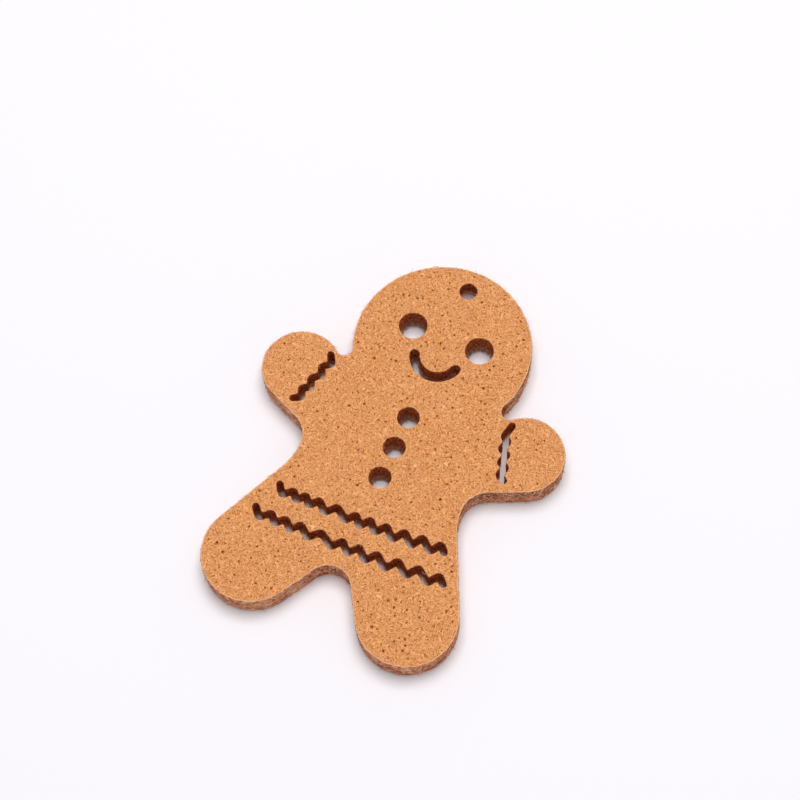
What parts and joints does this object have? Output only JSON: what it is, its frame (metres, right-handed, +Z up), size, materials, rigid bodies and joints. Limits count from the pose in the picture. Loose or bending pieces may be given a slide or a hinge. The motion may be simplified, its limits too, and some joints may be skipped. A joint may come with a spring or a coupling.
{
  "type": "felt hanging ornament",
  "caption": "Flat gingerbread-man hanging ornament cut from a thick sheet of felt, with cut-out eyes, smile, buttons, wavy slots and a hanging hole.",
  "frame": {"origin": "on the surface that the felt lies on, under the middle of its outline's box", "axes": "+Z up out of the front face, +Y towards the head, +X towards the right hand as the front face is seen from above"},
  "size_m": [0.0558, 0.0718, 0.005],
  "materials": {
    "felt": "matte needle-punched felt, tan with fine dark red-brown specks, its cut edges scorched reddish brown"
  },
  "bodies": {
    "root": {"felt_body": "felt"}
  },
  "joints": []
}
